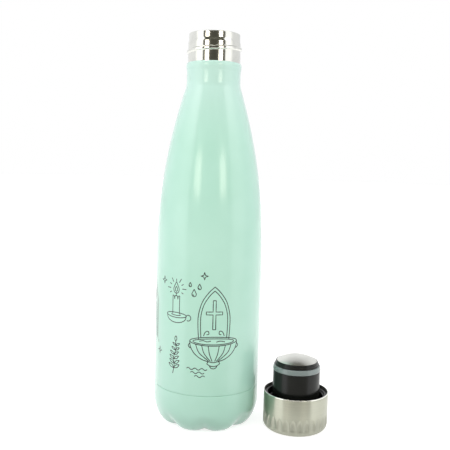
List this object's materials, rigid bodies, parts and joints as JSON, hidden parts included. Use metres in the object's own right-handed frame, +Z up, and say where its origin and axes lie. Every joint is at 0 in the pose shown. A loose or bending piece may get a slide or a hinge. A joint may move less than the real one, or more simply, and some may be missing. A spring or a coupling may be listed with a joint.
{
  "type": "holy water bottle",
  "caption": "Double-walled steel bottle for holy water, with a petal base, a bare threaded neck and its screw cap stood beside it, plug up.",
  "frame": {"origin": "on the standing plane, under the bottle's axis", "axes": "+Z up along the bottle's axis; -Y is the front that the picture sees; the cap stands towards +X"},
  "size_m": [0.1134, 0.0684, 0.2505],
  "materials": {
    "mint_paint": "smooth satin-gloss coating",
    "satin_steel": "satin, drawn and lightly brushed",
    "polished_steel": "polished",
    "black_plastic": "moulded, half gloss",
    "grey_silicone": "matt",
    "sealing_glass": "fused solder glass",
    "foil": "bright thin foil",
    "getter_metal": "pressed powder, dull",
    "white_foam": "fine closed-cell foam"
  },
  "bodies": {
    "bottle": {"outer_shell": "mint_paint", "base_cup": "mint_paint", "base_plate": "satin_steel", "port_bead": "sealing_glass", "inner_flask": "satin_steel", "inner_base": "satin_steel", "threaded_neck": "polished_steel", "reflector_foil": "foil", "getter_clip": "satin_steel", "getter": "getter_metal"},
    "cap": {"cap_shell": "satin_steel", "cap_liner": "black_plastic", "plug_body": "black_plastic", "seal_ring": "grey_silicone", "plug_tip": "black_plastic", "end_disc": "polished_steel", "plug_foam": "white_foam"}
  },
  "joints": [
    {"name": "cap_carry", "type": "hinge", "parent": "bottle", "child": "cap", "pos_m": [0.02925, -0.00632, 0.15055], "axis": [-0.2113, -0.9774, 0], "range_deg": [0, 180]}
  ]
}
